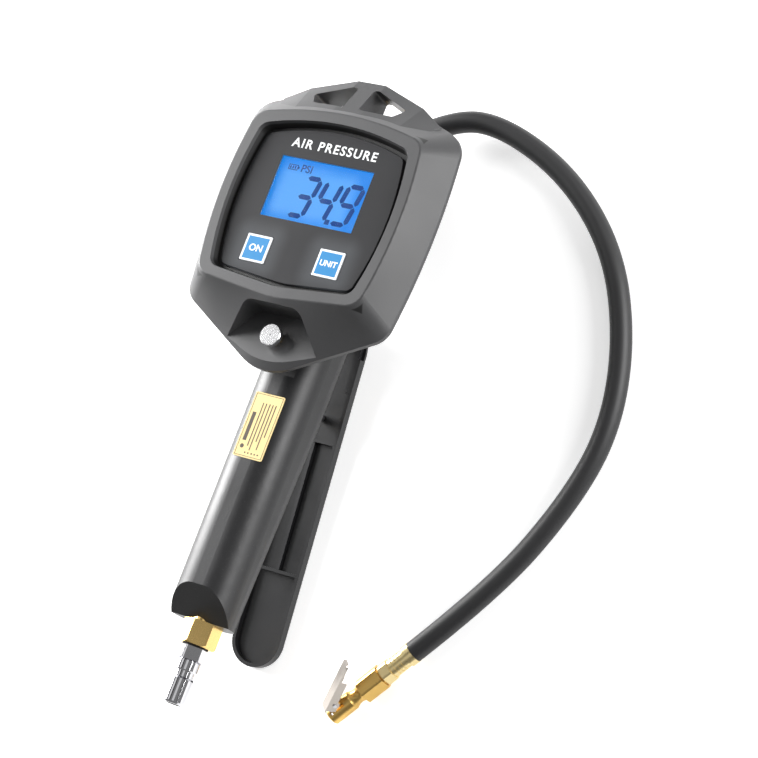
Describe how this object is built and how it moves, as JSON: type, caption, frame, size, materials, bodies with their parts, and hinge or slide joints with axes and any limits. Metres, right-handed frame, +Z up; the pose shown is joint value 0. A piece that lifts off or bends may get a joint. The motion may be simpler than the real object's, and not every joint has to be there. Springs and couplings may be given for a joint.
{
  "type": "tire pressure gauge",
  "caption": "Digital tyre inflator gauge: lit display in a flared head, squeeze lever behind a cast handle, air plug at the foot, and a rubber hose ending in a clip-on chuck.",
  "frame": {"origin": "middle of the gauge without its hose, on the ground it lies on", "axes": "+Y along the ground from the air plug to the hanging loop, +Z up, +X to the right of the display; the display faces up and leans 9.4 degrees towards +Y"},
  "size_m": [0.2229, 0.3263, 0.083],
  "materials": {
    "head_plastic": "fine textured",
    "cover_plastic": "fine textured",
    "facia_film": "satin",
    "window_clear": "clear",
    "lcd_blue": "backlit",
    "white_plastic": "satin",
    "board_green": "lacquered",
    "key_blue": "printed",
    "steel": "satin",
    "spring_steel": "wire",
    "chrome": "polished",
    "brass": "bright",
    "nickel": "nickel plated",
    "seal_rubber": "matte",
    "hose_rubber": "matte",
    "handle_paint": "black enamel",
    "lever_paint": "satin black",
    "label_gold": "gold foil",
    "cell_jacket": "printed sleeve"
  },
  "bodies": {
    "gauge": {"head_shell": "head_plastic", "head_rear_cover": "cover_plastic", "facia_panel": "facia_film", "display_window": "window_clear", "lcd_module": "lcd_blue", "backlight_plate": "white_plastic", "circuit_board": "board_green", "key_switches": "steel", "pressure_sensor": "white_plastic", "sensor_o_ring": "seal_rubber", "battery_cells": "cell_jacket", "battery_contacts": "spring_steel", "battery_door": "cover_plastic", "battery_door_screw": "steel", "cover_screws": "steel", "handle_screws": "steel", "bleed_bush": "brass", "bleed_spring": "spring_steel", "handle_body": "handle_paint", "label_plate": "label_gold", "inlet_adapter": "brass", "inlet_screen": "steel", "quick_plug": "chrome", "plug_washer": "seal_rubber", "valve_seat": "brass", "valve_spring": "spring_steel", "valve_gland": "brass", "gland_o_ring": "seal_rubber", "lever_pin": "steel", "lever_pin_clips": "spring_steel", "port_elbow": "brass", "port_ferrule": "brass", "hose": "hose_rubber", "chuck_ferrule": "brass", "chuck_nut": "brass", "chuck_body": "brass", "chuck_seal": "seal_rubber", "core_pin": "brass", "clip_pin": "steel", "clip_spring": "spring_steel"},
    "lever": {"trigger_lever": "lever_paint"},
    "valve": {"valve_stem": "steel", "valve_disc": "seal_rubber"},
    "bleed": {"bleed_button": "chrome", "bleed_o_ring": "seal_rubber"},
    "on_key": {"on_button": "key_blue"},
    "unit_key": {"unit_button": "key_blue"},
    "clip": {"clip_lever": "nickel"}
  },
  "joints": [
    {"name": "lever_squeeze", "type": "hinge", "parent": "gauge", "child": "lever", "pos_m": [0, 0.04088, 0.00821], "axis": [-1, 0, 0], "range_deg": [0, 5], "stiffness_Nm_per_rad": 6, "springref_deg": -22.92},
    {"name": "valve_open", "type": "slide", "parent": "gauge", "child": "valve", "axis": [0, 0.1634, 0.9866], "range_m": [0, 0.0041], "deforming": ["valve_spring"]},
    {"name": "bleed_press", "type": "slide", "parent": "gauge", "child": "bleed", "axis": [0, -0.1634, -0.9866], "range_m": [0, 0.0016], "stiffness_N_per_m": 400, "springref_m": -0.004, "deforming": ["bleed_spring"]},
    {"name": "on_press", "type": "slide", "parent": "gauge", "child": "on_key", "axis": [0, -0.1634, -0.9866], "range_m": [0, 0.0006], "stiffness_N_per_m": 1200, "springref_m": -0.0005},
    {"name": "unit_press", "type": "slide", "parent": "gauge", "child": "unit_key", "axis": [0, -0.1634, -0.9866], "range_m": [0, 0.0006], "stiffness_N_per_m": 1200, "springref_m": -0.0005},
    {"name": "clip_squeeze", "type": "hinge", "parent": "gauge", "child": "clip", "pos_m": [0.05586, -0.13875, 0.01167], "axis": [-0.6728, 0.5452, -0.5], "range_deg": [0, 22], "stiffness_Nm_per_rad": 0.3, "springref_deg": -45.84}
  ],
  "couplings": [
    {"joint": "valve_open", "follows": "lever_squeeze", "m_per_rad": 0.044}
  ]
}
